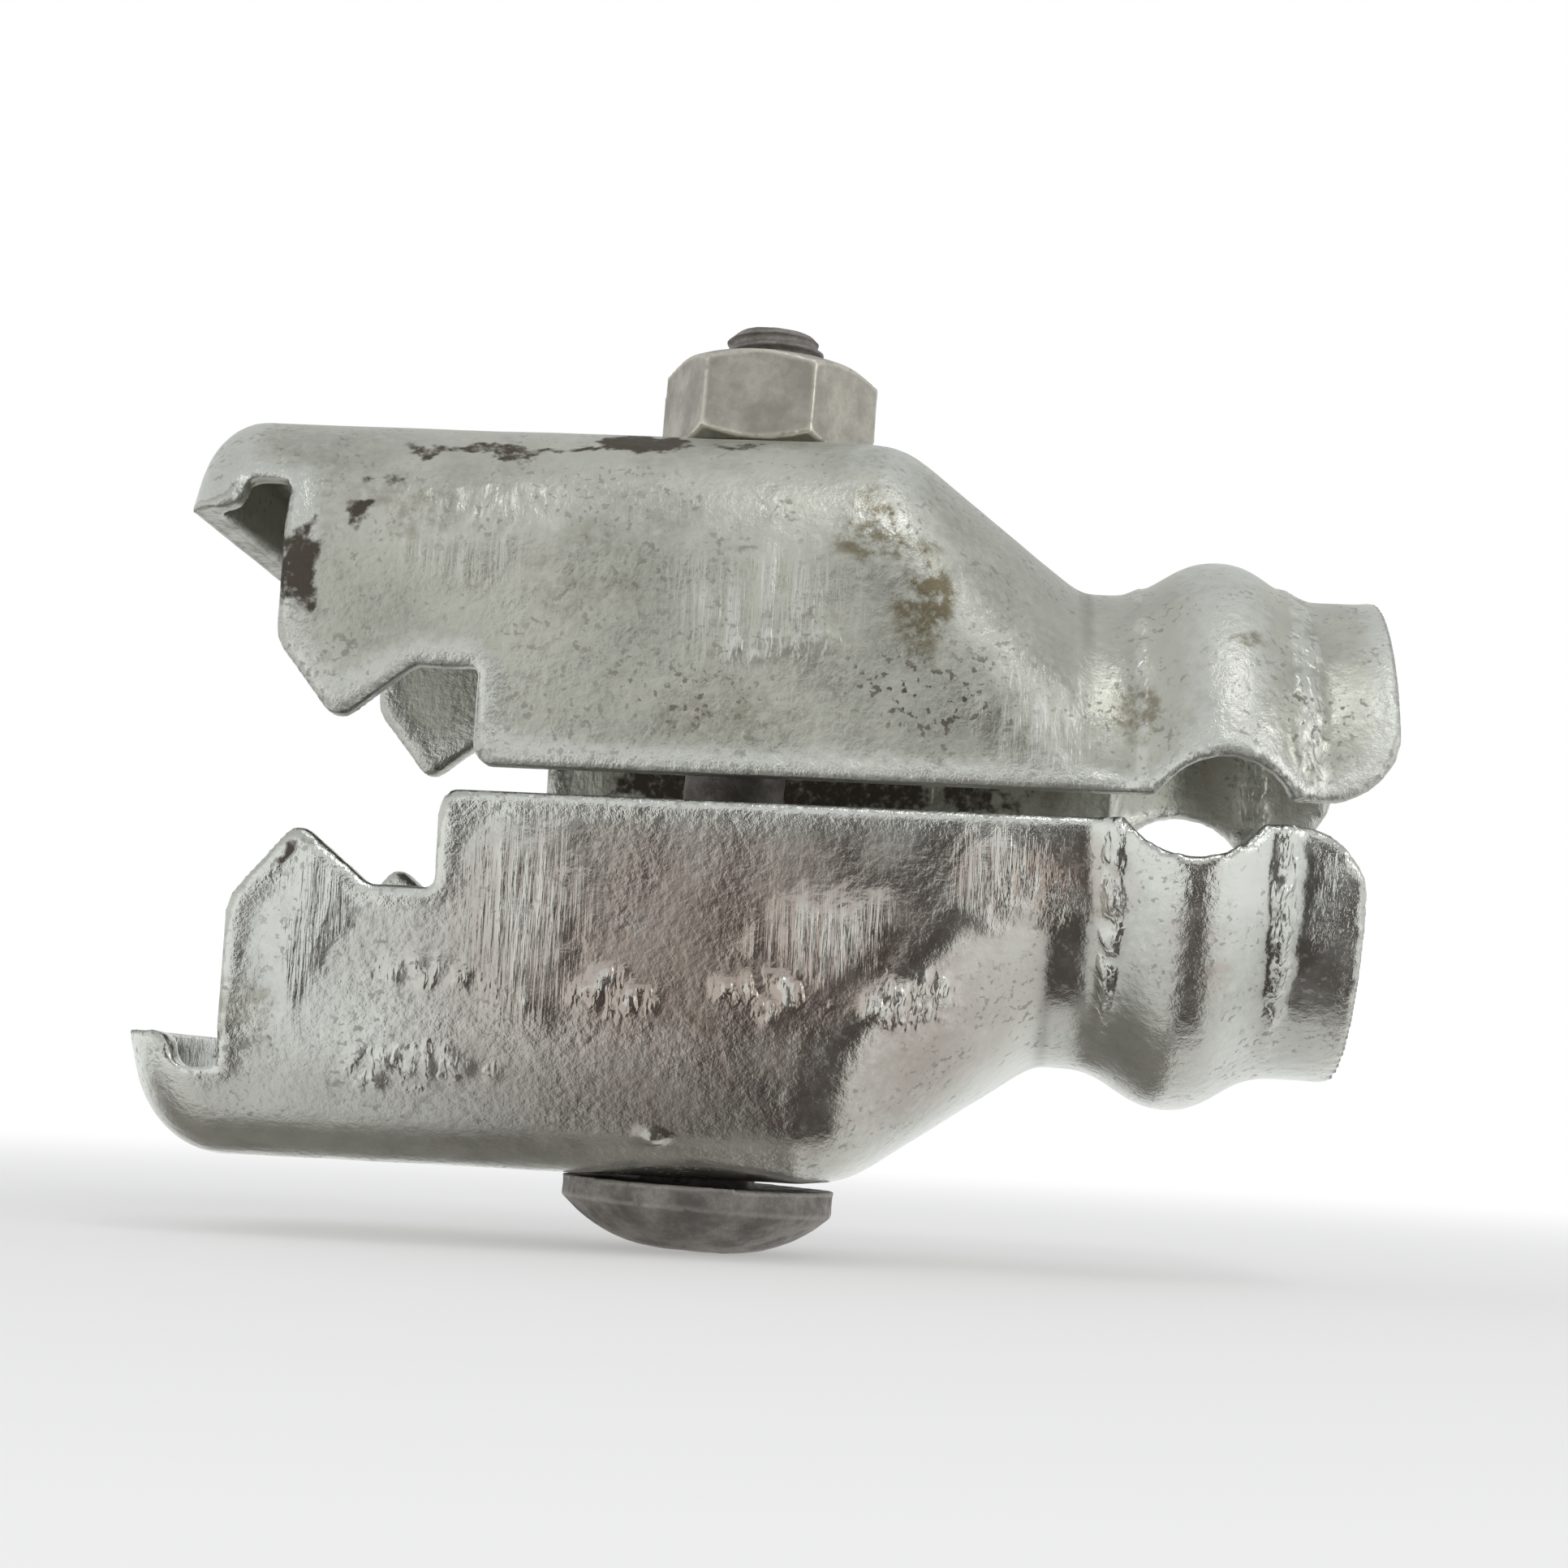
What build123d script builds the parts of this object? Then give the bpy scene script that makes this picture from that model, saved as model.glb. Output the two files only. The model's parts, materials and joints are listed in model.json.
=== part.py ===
"""Scaffold coupler clamp: two pressed half shells drawn together by one bolt and nut.

+X runs along the tube axis and out of the tube seat, +Y across the clamp, +Z up
along the bolt. The origin is on the tube axis, in the plane of the lower shell's
seat mouth. All sizes are in millimetres.
"""

from build123d import *
from math import atan, cos, radians, sin, sqrt, tan
import os

# Tube seat
tube_radius = 24.15  # half of the 48.3 mm tube that the seats grip
sheet = 3.25  # wall thickness of the pressing
edge_short = 1.4  # each half stops this far short of the tube axis
seat_radius = tube_radius + sheet  # outside of the seat
bead_height = 4.1  # how far the swaged bead stands out of the seat
mouth_x = 70.9  # bolt hole to seat mouth, along the tube axis
seat_lead = 6.0  # how far the tube's bore runs on into the sloping stretch
bead_start, bead_crest, bead_end = 41.0, 52.8, 64.3  # bead, from the bolt hole
scallop_x, scallop_depth, scallop_radius = 52.6, 4.1, 8.4  # relief over the bead
scallop_easing = 2.5
mouth_corner = 8.0  # rounded corner of the wall at the mouth

# Trough
half_width = seat_radius  # outside of the walls
web_depth = 40.4  # mating edge to the outside of the web
trough_corner = 17.0  # outside bend between a wall and the web
slope_angle = 34.5  # how steeply the web drops to the seat
slope_top = 16.5  # corner where the slope starts, from the bolt hole
top_bend, neck_bend = 14.0, 7.0  # bend radii at the two ends of the slope
seat_depth = seat_radius - edge_short  # mating edge to the outside of the seat
neck_flat = 0.3  # half of the flat left on the web where it meets the round seat
slope_steps = 8  # sections that the sloping stretch is lofted through

# Hook jaw and end lip, from the bolt hole and the mating edge
lip_x = -61.7  # outside of the end lip
lower_lip_bend, upper_lip_bend = 9.5, 6.0  # outside bend between the lip and its neighbours
lip_depth = 27.4  # free edge of the lip
slot_depth = 31.0  # bottom of the relief slot beside the lip
slot_x = -55.2  # slot's outer side
wall_end_x = -49.8  # slot's inner side, the end of the wall
hook_shoulder = 12.8  # where the wall's end meets the hook's slope
hook_tip_x, hook_tip_depth = -42.8, 4.3
pocket_left, pocket_right, pocket_depth = -34.7, -27.5, 10.65
pocket_corner = 2.5

# Bolt and nut
thread_radius = 6.0  # M12
thread_clearance = 0.05  # radial play between the thread and the nut
neck_square, neck_corner = 12.4, 0.6  # square neck under the head
neck_length = 8.0
neck_hole, neck_hole_corner = 13.4, 1.0  # square hole in the lower web
bolt_hole_radius = 7.2  # round hole in the upper web
head_radius, head_rim, head_height = 15.6, 2.4, 7.4
head_crown, head_bulge = 6.0, 0.9  # flat at the cup's middle, and swell of its flank
head_gap = 0.85  # the leaning head comes nearest the web at one edge
nut_flats = 22.0
nut_height = 10.8
nut_face_step, nut_bevel = 0.5, 30.0  # bevel starts inside the flats, at this angle
nut_gap = 0.55  # the leaning nut comes nearest the web at one corner
nut_twist = -2.5  # turn of the nut's flats from square, in degrees
bolt_stick_out = 4.5  # thread left above the nut
nut_hole_chamfer = 0.8
bolt_end_chamfer = 1.1

# How the two halves sit at rest
jaw_gap = 2 * edge_short  # both seats are then round the same tube axis
jaw_offset = 3.2  # the upper half sits this far towards the mouth

overrun = 3.0  # how far the sections run past the mating plane before it trims them
slope = radians(slope_angle)
slope_foot = slope_top + (web_depth - seat_depth) / tan(slope)
slope_start = slope_top - top_bend * tan(slope / 2)
slope_end = slope_foot + neck_bend * tan(slope / 2)
web_to_web = 2 * web_depth + jaw_gap
lean = atan(jaw_offset / web_to_web)  # the bolt runs through both offset holes

# Frames: origin at the bolt hole in the mating plane, +Z from the web out of the trough
lower_frame = Plane((-mouth_x, 0, -edge_short), x_dir=(1, 0, 0), z_dir=(0, 0, 1))
upper_frame = Plane((jaw_offset - mouth_x, 0, edge_short), x_dir=(1, 0, 0), z_dir=(0, 0, -1))
bolt_frame = Plane(
    (-mouth_x, 0, -edge_short - web_depth),
    x_dir=(cos(lean), 0, -sin(lean)),
    z_dir=(sin(lean), 0, cos(lean)),
)


def cross_plane(frame, x):
    """Plane across a piece at x, with its own x along the frame's Y and its y along Z."""
    return Plane(frame.origin + frame.x_dir * x, x_dir=frame.y_dir, z_dir=frame.x_dir)


def long_plane(frame):
    """Plane along a piece through its frame's origin, with its own y along the frame's Z."""
    return Plane(frame.origin, x_dir=frame.x_dir, z_dir=-frame.y_dir)


def web_profile(x):
    """Depth of the outside of the web at x from the bolt hole, and its gradient there."""
    if x <= slope_start:
        return web_depth, 0.0
    if x < slope_start + top_bend * sin(slope):
        along = x - slope_start
        height = sqrt(top_bend**2 - along**2)
        return web_depth - top_bend + height, along / height
    if x <= slope_end - neck_bend * sin(slope):
        return web_depth - (x - slope_top) * tan(slope), tan(slope)
    along = slope_end - x
    height = sqrt(neck_bend**2 - along**2)
    return seat_depth + neck_bend - height, along / height


def trough_section(frame, x, inset):
    """Sketch the trough's round-cornered U section at x, moved inwards by inset."""
    depth, gradient = web_profile(x)
    blend = (web_depth - depth) / (web_depth - seat_depth)
    corner = trough_corner + (half_width - neck_flat - trough_corner) * blend - inset
    floor = depth - inset * sqrt(1 + gradient**2)
    side = half_width - inset
    with BuildSketch(cross_plane(frame, x)) as section:
        with BuildLine():
            left = Line((-side, overrun), (-side, corner - floor))
            left_bend = JernArc(left @ 1, (0, -1), corner, 90)
            web = Line(left_bend @ 1, (side - corner, -floor))
            right_bend = JernArc(web @ 1, (1, 0), corner, 90)
            right = Line(right_bend @ 1, (side, overrun))
            Line(right @ 1, left @ 0)
        make_face()
    return section.sketch


def seat_section(frame, inset):
    """Sketch the seat's length section, from the tube axis out to the beaded wall."""
    wall = edge_short - seat_radius + inset
    end = mouth_x + min(inset, 1)
    with BuildSketch(long_plane(frame)) as section:
        with BuildLine():
            neck = Polyline((slope_end, edge_short), (slope_end, wall), (bead_start, wall))
            crest = (bead_crest, wall - bead_height)
            rise = Spline(neck @ 1, crest, tangents=[(1, 0), (1, 0)])
            fall = Spline(rise @ 1, (bead_end, wall), tangents=[(1, 0), (1, 0)])
            Polyline(fall @ 1, (end, wall), (end, edge_short), neck @ 0)
        make_face()
    return section.sketch


def trough_core(frame, lip_bend, inset):
    """Solid filling the pressing out to its outer skin, or its inner skin with inset = sheet."""
    with BuildPart() as core:
        extrude(trough_section(frame, lip_x + inset, inset), slope_start - lip_x - inset)
        end_edges = core.faces().sort_by(Axis.X)[0].edges()
        rim = end_edges.sort_by(lambda edge: frame.to_local_coords(edge.center()).Z)
        fillet(rim[:-1], lip_bend - inset)
        length = slope_end - slope_start
        stations = [slope_start + length * step / slope_steps for step in range(slope_steps + 1)]
        loft([trough_section(frame, x, inset) for x in stations])
        seat_axis = Axis(frame.origin + frame.z_dir * edge_short, frame.x_dir)
        revolve(seat_section(frame, inset), axis=seat_axis)
    return core.part


def jaw_cut(frame):
    """Sketch what is cut from both walls at the jaw end: mouth, pocket, slot and lip edge."""
    outside = lip_x - overrun
    corners = [
        (pocket_right, -pocket_depth, 0.8),
        (pocket_left, -pocket_depth, 1.0),
        (hook_tip_x, -hook_tip_depth, 1.8),
        (wall_end_x, -hook_shoulder, 5.0),
        (wall_end_x, -slot_depth, 1.6),
        (slot_x, -slot_depth, 1.6),
        (slot_x, -lip_depth, 2.0),
    ]
    with BuildSketch(long_plane(frame)) as cut:
        with BuildLine():
            edge = [(x, z) for x, z, radius in corners]
            Polyline(
                (pocket_right, overrun), *edge, (outside, -lip_depth), (outside, overrun), close=True
            )
        make_face()
        for x, z, radius in corners:
            fillet(cut.vertices().sort_by_distance((x, z, 0))[0], radius)
    return cut.sketch


def scallop_cut(frame):
    """Sketch the relief over the bead, eased where it leaves the mating edge."""
    centre = scallop_radius - scallop_depth
    reach = sqrt(scallop_radius**2 - centre**2)
    with BuildSketch(long_plane(frame)) as cut:
        with Locations((scallop_x, overrun / 2)):
            Rectangle(4 * reach, overrun)
        with Locations((scallop_x, centre)):
            Circle(scallop_radius)
        for x in (scallop_x - reach, scallop_x + reach):
            fillet(cut.vertices().sort_by_distance((x, 0, 0))[0], scallop_easing)
    return cut.sketch


def mating_corner(shell, frame, x):
    """Edges across the walls where the mating edge ends at x."""
    corner = frame.from_local_coords(Vector(x, 0, 0))
    return [
        edge
        for edge in shell.edges().filter_by(Axis.Y)
        if abs(edge.center().X - corner.X) < 0.01 and abs(edge.center().Z - corner.Z) < 0.01
    ]


def pressing(frame, lip_bend):
    """One pressed half shell, still without its bolt hole."""
    outside = trough_core(frame, lip_bend, 0)
    inside = trough_core(frame, lip_bend, sheet)
    with BuildPart() as shell:
        add(outside)
        add(inside, mode=Mode.SUBTRACT)
        with BuildSketch(cross_plane(frame, slope_end - seat_lead)):
            with Locations((0, edge_short)):
                Circle(tube_radius)
        extrude(amount=mouth_x - slope_end + seat_lead, mode=Mode.SUBTRACT)
        split(bisect_by=frame, keep=Keep.BOTTOM)
        extrude(jaw_cut(frame), seat_radius + overrun, both=True, mode=Mode.SUBTRACT)
        extrude(scallop_cut(frame), seat_radius + overrun * 2, both=True, mode=Mode.SUBTRACT)
        fillet(mating_corner(shell, frame, mouth_x), mouth_corner)
        fillet(mating_corner(shell, frame, pocket_right), pocket_corner)
    return shell.part


# Lower shell, with the square hole that keeps the bolt from turning
lower_pressing = pressing(lower_frame, lower_lip_bend)
with BuildPart() as lower_shell:
    add(lower_pressing)
    with BuildSketch(lower_frame.offset(-web_depth - overrun)):
        RectangleRounded(neck_hole, neck_hole, neck_hole_corner)
    extrude(amount=sheet + 2 * overrun, mode=Mode.SUBTRACT)

# Upper shell, the same pressing turned over, its lip bent tighter, with a round hole
upper_pressing = pressing(upper_frame, upper_lip_bend)
with BuildPart() as upper_shell:
    add(upper_pressing)
    with BuildSketch(upper_frame.offset(-web_depth - overrun)):
        Circle(bolt_hole_radius)
    extrude(amount=sheet + 2 * overrun, mode=Mode.SUBTRACT)

# Carriage bolt: cup head, square neck and shank, leaning with the offset halves
nut_seat = web_to_web / cos(lean) + nut_gap
bolt_end = nut_seat + nut_height + bolt_stick_out
with BuildPart() as carriage_bolt:
    with BuildSketch(long_plane(bolt_frame)):
        with BuildLine():
            under = Line((0, -head_gap), (head_radius, -head_gap))
            rim = Line(under @ 1, (head_radius, -head_gap - head_rim))
            cup = SagittaArc(rim @ 1, (head_crown, -head_gap - head_height), head_bulge)
            crown = Line(cup @ 1, (0, -head_gap - head_height))
            Line(crown @ 1, under @ 0)
        make_face()
    revolve(axis=Axis(bolt_frame.origin, bolt_frame.z_dir))
    with BuildSketch(bolt_frame.offset(-head_gap)):
        RectangleRounded(neck_square, neck_square, neck_corner)
    extrude(amount=neck_length + head_gap)
    with BuildSketch(bolt_frame.offset(-head_gap)):
        Circle(thread_radius)
    extrude(amount=bolt_end + head_gap)
    tip = carriage_bolt.edges().filter_by(GeomType.CIRCLE).sort_by(Axis.Z)[-1]
    chamfer(tip, bolt_end_chamfer)

# Hexagon nut, its corners turned off at both ends
with BuildPart() as hex_nut:
    with BuildSketch(bolt_frame.offset(nut_seat)):
        RegularPolygon(nut_flats / 2, 6, major_radius=False, rotation=nut_twist)
    extrude(amount=nut_height)
    with BuildSketch(long_plane(bolt_frame)):
        with BuildLine():
            face = nut_flats / 2 - nut_face_step
            waist = nut_flats / 2 / cos(radians(30)) + nut_face_step
            bevel = (waist - face) * tan(radians(nut_bevel))
            Polyline(
                (0, nut_seat),
                (face, nut_seat),
                (waist, nut_seat + bevel),
                (waist, nut_seat + nut_height - bevel),
                (face, nut_seat + nut_height),
                (0, nut_seat + nut_height),
                close=True,
            )
        make_face()
    revolve(axis=Axis(bolt_frame.origin, bolt_frame.z_dir), mode=Mode.INTERSECT)
    with BuildSketch(bolt_frame.offset(nut_seat)):
        Circle(thread_radius + thread_clearance)
    extrude(amount=nut_height, mode=Mode.SUBTRACT)
    chamfer(hex_nut.edges().filter_by(GeomType.CIRCLE).sort_by(SortBy.RADIUS)[:2], nut_hole_chamfer)

os.makedirs("parts", exist_ok=True)
lower_shell.part.label = "lower_shell"
export_step(lower_shell.part, "parts/lower_shell.step")
upper_shell.part.label = "upper_shell"
export_step(upper_shell.part, "parts/upper_shell.step")
carriage_bolt.part.label = "carriage_bolt"
export_step(carriage_bolt.part, "parts/carriage_bolt.step")
hex_nut.part.label = "hex_nut"
export_step(hex_nut.part, "parts/hex_nut.step")
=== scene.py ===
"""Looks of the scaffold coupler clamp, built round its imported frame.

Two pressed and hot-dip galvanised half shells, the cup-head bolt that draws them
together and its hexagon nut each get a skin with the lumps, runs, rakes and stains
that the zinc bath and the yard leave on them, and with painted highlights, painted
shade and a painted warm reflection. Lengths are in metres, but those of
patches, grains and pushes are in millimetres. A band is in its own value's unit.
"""

import json
import logging
import math
from dataclasses import dataclass
from enum import Enum
from functools import reduce
from typing import Any, Mapping, Sequence, Union

import bmesh
import bpy
from mathutils import Matrix, Vector


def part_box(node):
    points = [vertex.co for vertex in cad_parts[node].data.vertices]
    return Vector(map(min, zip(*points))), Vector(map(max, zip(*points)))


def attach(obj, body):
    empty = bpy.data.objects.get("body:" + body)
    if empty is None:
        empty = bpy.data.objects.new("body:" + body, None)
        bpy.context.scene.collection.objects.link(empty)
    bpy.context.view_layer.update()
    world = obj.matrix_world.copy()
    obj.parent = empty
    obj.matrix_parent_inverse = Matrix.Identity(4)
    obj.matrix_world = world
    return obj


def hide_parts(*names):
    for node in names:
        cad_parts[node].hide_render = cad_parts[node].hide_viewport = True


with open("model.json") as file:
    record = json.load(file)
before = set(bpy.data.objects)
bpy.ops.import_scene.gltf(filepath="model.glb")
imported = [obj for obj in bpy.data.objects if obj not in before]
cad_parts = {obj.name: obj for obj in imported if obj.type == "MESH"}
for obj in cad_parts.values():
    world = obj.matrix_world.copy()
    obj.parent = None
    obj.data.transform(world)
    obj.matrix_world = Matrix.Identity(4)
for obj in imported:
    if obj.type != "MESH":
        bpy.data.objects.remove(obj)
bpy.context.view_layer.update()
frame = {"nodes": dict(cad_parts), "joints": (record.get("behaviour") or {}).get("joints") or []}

Rgb = tuple[float, float, float]
Triple = tuple[float, float, float]
Band = tuple[float, float]  # where a value's step is 0, and where it is 1
Push = tuple[float, float]  # size of a push's lumps, and how far it reaches
Socket = bpy.types.NodeSocket
Value = Union[Socket, float, int, Sequence[float]]

log = logging.getLogger("coupler_clamp")
MM = 0.001
EVEN = (1.0, 1.0, 1.0)
WHITE = (1.0, 1.0, 1.0)
MIDDLE = (-0.065, 0.0, 0.0)  # what the lamps face and the floor fades away from
SAME_POINT = 1e-6  # corners of a CAD node's loose triangles nearer than this are one


class Mark(Enum):
    """What the bath, the press or the yard left on a patch of the surface, or light and shade
    painted on it.
    """

    DIRT_AND_SHADE = "dirt_and_shade"  # black-brown dirt soaked into the zinc; one patch on the upper shell's far wall is painted shade
    RUST = "rust"  # thin yellow-brown stain
    RAKE = "rake"  # fine upright drag lines
    RUN = "run"  # worm-like runs of thick zinc
    LUMP = "lump"  # a round bead of zinc
    SEAM = "seam"  # lumpy ridge along a crease of the pressing
    PIT = "pit"  # a scatter of small black pits
    WARM_REFLECTION = "warm_reflection"  # painted warm, mauve reflection of the room on the bright zinc


FIRM_MARKS = (Mark.SEAM, Mark.LUMP)  # their outline is hardly torn
FADING_MARKS = (Mark.RAKE, Mark.PIT, Mark.WARM_REFLECTION)  # they thin out slowly towards it
MEASURES = ("rim", "shore", "relief")  # what the skin measures at each point, in mm
RAGGED: tuple[Push, ...] = ((9.0, 4.0), (2.6, 2.4))
FIRM: tuple[Push, ...] = ((4.0, 0.9),)


@dataclass(frozen=True)
class Patch:
    """An ellipsoid of the surface that carries one kind of mark."""

    mark: Mark
    at: Triple
    reach: Triple
    strength: float = 1.0


@dataclass(frozen=True)
class Grain:
    """A noise of a given lump size, and the band of it that makes spots."""

    size: float
    detail: float = 2.0  # how many finer layers it has
    rough: float = 0.5  # how strong those are
    band: Band = (0.0, 1.0)
    drawn: Triple = EVEN  # scale along each axis, so that below 1 it is drawn out


@dataclass(frozen=True)
class Fringe:
    """A band of a measure or a mask, torn by a push."""

    band: Band
    push: Push


class Graph:
    """Short calls for the nodes that shader and geometry trees are both made of."""

    def __init__(self, tree: bpy.types.NodeTree) -> None:
        """Start from an empty tree.

        Args:
            tree: the shader or geometry tree to fill.
        """
        self.tree = tree
        tree.nodes.clear()

    def feed(self, socket: Socket, value: Value) -> None:
        """Link a socket to an input, or set the input's own value.

        Args:
            socket: the input.
            value: an output socket, a number or a colour.
        """
        if isinstance(value, bpy.types.NodeSocket):
            self.tree.links.new(value, socket)
        elif isinstance(value, tuple) and socket.type == "RGBA":
            socket.default_value = (*value, 1.0)
        else:
            socket.default_value = value

    def node(self, kind: str, inputs: Mapping[Any, Value], **settings: Any) -> bpy.types.Node:
        """Add a node.

        Args:
            kind: the node's type name.
            inputs: what goes into each input, by its name or number.
            settings: the node's own properties.

        Returns:
            The new node.
        """
        made = self.tree.nodes.new(kind)
        for name, value in settings.items():
            setattr(made, name, value)
        for name, value in inputs.items():
            self.feed(made.inputs[name], value)
        return made

    def math(self, operation: str, a: Value, b: Value = 0.0, clamp: bool = False) -> Socket:
        """Add a Math node.

        Args:
            operation: the node's operation.
            a: its first value.
            b: its second value.
            clamp: whether the result is kept between 0 and 1.

        Returns:
            The result's socket.
        """
        made = self.node("ShaderNodeMath", {0: a, 1: b}, operation=operation, use_clamp=clamp)
        return made.outputs[0]

    def plus(self, a: Value, b: Value) -> Socket:
        """Add two values."""
        return self.math("ADD", a, b)

    def times(self, a: Value, b: Value) -> Socket:
        """Multiply two values."""
        return self.math("MULTIPLY", a, b)

    def vector(self, operation: str, a: Value, b: Value = (0.0, 0.0, 0.0)) -> Socket:
        """Add a Vector Math node.

        Args:
            operation: the node's operation.
            a: its first vector.
            b: its second vector.

        Returns:
            The result's socket, a vector or a value as the operation gives.
        """
        made = self.node("ShaderNodeVectorMath", {0: a, 1: b}, operation=operation)
        return made.outputs["Value" if operation in ("LENGTH", "DOT_PRODUCT") else "Vector"]

    def scaled(self, vector: Value, factor: Value) -> Socket:
        """Scale a vector by one value.

        Args:
            vector: the vector.
            factor: what it is multiplied by.

        Returns:
            The scaled vector's socket.
        """
        made = self.node("ShaderNodeVectorMath", {0: vector, "Scale": factor}, operation="SCALE")
        return made.outputs["Vector"]

    def noise(self, point: Value, grain: Grain) -> Socket:
        """Add a grain's noise.

        Args:
            point: where it is read.
            grain: the grain.

        Returns:
            A socket that swings about 0.5.
        """
        if grain.drawn != EVEN:
            point = self.vector("MULTIPLY", point, grain.drawn)
        layers = {"Detail": grain.detail, "Roughness": grain.rough}
        inputs = {"Vector": point, "Scale": 1 / (grain.size * MM), **layers}
        return self.node("ShaderNodeTexNoise", inputs).outputs[0]

    def spots(self, point: Value, grain: Grain) -> Socket:
        """Cut a grain's noise to its band: 0 between the spots, 1 on them."""
        return self.step(self.noise(point, grain), *grain.band)

    def swing(self, point: Value, grain: Grain, reach: Value) -> Socket:
        """Let a grain's noise swing by a reach either side of nothing."""
        return self.times(self.between(self.noise(point, grain), -1.0, 1.0), reach)

    def fringe(self, point: Value, value: Value, fringe: Fringe) -> Socket:
        """Step a value through a fringe's band, with the step torn by its push.

        Args:
            point: where the push's noise is read.
            value: the value.
            fringe: the band and the push.

        Returns:
            The result's socket.
        """
        size, reach = fringe.push
        torn = self.plus(value, self.swing(point, Grain(size, 4.0, 0.65), reach))
        return self.step(torn, *fringe.band)

    def warped(self, point: Value, pushes: Sequence[Push]) -> Socket:
        """Push points about, so that a patch gets a ragged outline.

        Args:
            point: the points.
            pushes: the pushes that they get, one after the other.

        Returns:
            The moved points' socket.
        """
        for size, reach in pushes:
            inputs = {"Vector": point, "Scale": 1 / (size * MM)}
            push = self.node("ShaderNodeTexNoise", inputs).outputs[1]
            centred = self.vector("SUBTRACT", push, (0.5, 0.5, 0.5))
            point = self.vector("ADD", point, self.scaled(centred, 2 * reach * MM))
        return point

    def step(self, value: Value, low: float, high: float) -> Socket:
        """Rise smoothly from 0 at low to 1 at high, or fall if low is the larger.

        Args:
            value: the value that is compared.
            low: where the result is 0.
            high: where the result is 1.

        Returns:
            The result's socket.
        """
        inputs = {"Value": value, "From Min": low, "From Max": high}
        made = self.node("ShaderNodeMapRange", inputs, interpolation_type="SMOOTHSTEP")
        return made.outputs[0]

    def between(self, value: Value, low: float, high: float) -> Socket:
        """Stretch a value that runs from 0 to 1 to run from low to high."""
        inputs = {"Value": value, "To Min": low, "To Max": high}
        return self.node("ShaderNodeMapRange", inputs).outputs[0]

    def mix(self, factor: Value, a: Value, b: Value) -> Socket:
        """Mix two colours.

        Args:
            factor: how much of b shows.
            a: the first colour.
            b: the second colour.

        Returns:
            The mixed colour's socket.
        """
        made = self.node("ShaderNodeMix", {}, data_type="RGBA")
        for socket, value in zip((made.inputs[0], *made.inputs[6:8]), (factor, a, b)):
            self.feed(socket, value)
        return made.outputs[2]

    def layered(self, tone: Value, layers: Sequence[tuple[Value, Value, Rgb]]) -> Socket:
        """Lay colours over a tone, one after the other.

        Args:
            tone: the tone underneath.
            layers: where each colour lies, how much of it shows there, and the colour.

        Returns:
            The finished colour's socket.
        """
        for mask, share, colour in layers:
            tone = self.mix(self.times(mask, share), tone, colour)
        return tone

    def patch(self, point: Value, patch: Patch, fade: float) -> Socket:
        """Say how far inside a patch each point is.

        Args:
            point: the points.
            patch: the patch.
            fade: the share of its reach over which it fades.

        Returns:
            A socket from 0 outside to the patch's strength inside.
        """
        away = self.vector("SUBTRACT", point, [value * MM for value in patch.at])
        spread = self.vector("DIVIDE", away, [value * MM for value in patch.reach])
        inside = self.step(self.vector("LENGTH", spread), 1.0, 1.0 - fade)
        return self.times(inside, patch.strength)


class MaterialGraph(Graph):
    """A material's tree, with the object coordinates that its patterns are read at."""

    def __init__(self, name: str) -> None:
        """Make the material and start its tree.

        Args:
            name: the material's name.
        """
        self.material = bpy.data.materials.new(name)
        self.material.use_nodes = True
        super().__init__(self.material.node_tree)
        self.point = self.node("ShaderNodeTexCoord", {}).outputs["Object"]

    def attribute(self, name: str) -> Socket:
        """Read one of the values that the skin keeps on the mesh."""
        return self.node("ShaderNodeAttribute", {}, attribute_name=name).outputs["Fac"]

    def end(self, surface: Socket) -> bpy.types.Material:
        """Finish the tree with the shader that is its surface."""
        self.node("ShaderNodeOutputMaterial", {"Surface": surface})
        return self.material

    def end_in_metal(
        self, colour: Value, metal: Value, rough: Value, height: Value
    ) -> bpy.types.Material:
        """Finish the tree with a metal that has a fine relief.

        Args:
            colour: its colour.
            metal: how metallic it is.
            rough: its roughness.
            height: the height of its relief, in metres.

        Returns:
            The finished material.
        """
        bump = self.node("ShaderNodeBump", {"Strength": 1.0, "Distance": 1.0, "Height": height})
        inputs = {"Base Color": colour, "Metallic": metal, "Roughness": rough}
        inputs["Normal"] = bump.outputs[0]
        return self.end(self.node("ShaderNodeBsdfPrincipled", inputs).outputs[0])


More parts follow.
